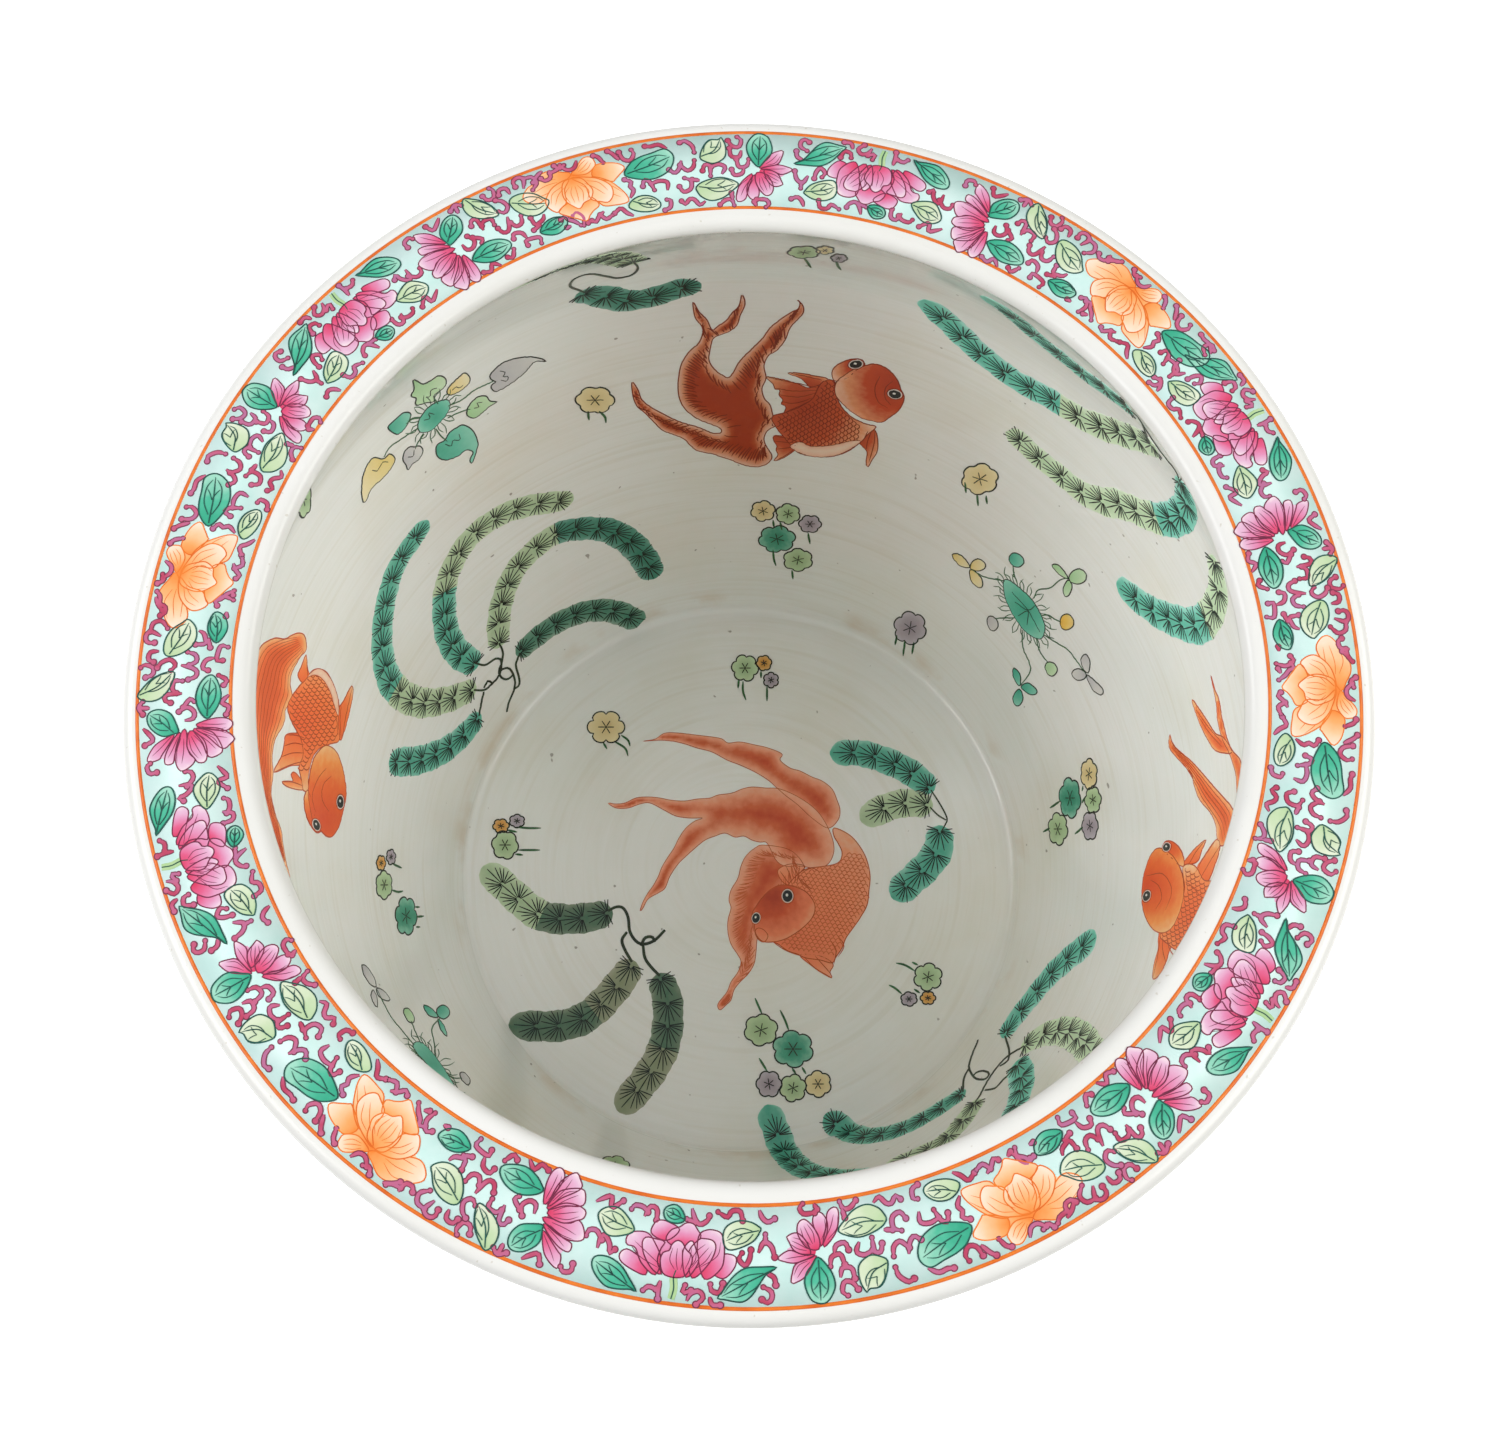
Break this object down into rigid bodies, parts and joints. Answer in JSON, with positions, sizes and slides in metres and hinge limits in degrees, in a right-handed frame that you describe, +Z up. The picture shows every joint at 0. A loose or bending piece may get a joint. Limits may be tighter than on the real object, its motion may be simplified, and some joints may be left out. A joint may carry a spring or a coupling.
{
  "type": "jardiniere",
  "caption": "Round-bellied porcelain fishbowl jardiniere with a flat everted rim, enamelled border, painted interior and low foot ring.",
  "frame": {"origin": "centre of the foot ring's bearing face, on the bowl's axis", "axes": "+Z up along the bowl's axis; the picture looks from -Y, steeply down"},
  "size_m": [0.46, 0.46, 0.4144],
  "materials": {
    "white_glaze": "gloss",
    "inner_glaze": "gloss",
    "biscuit": "matte",
    "turquoise_enamel": "satin",
    "iron_red_enamel": "satin"
  },
  "bodies": {
    "root": {"foot_ring": "biscuit", "base_floor": "inner_glaze", "lower_wall": "inner_glaze", "belly_wall": "inner_glaze", "shoulder_wall": "inner_glaze", "neck_collar": "white_glaze", "rim_flange": "white_glaze", "inner_border_line": "iron_red_enamel", "outer_border_line": "iron_red_enamel", "turquoise_band": "turquoise_enamel"}
  },
  "joints": []
}
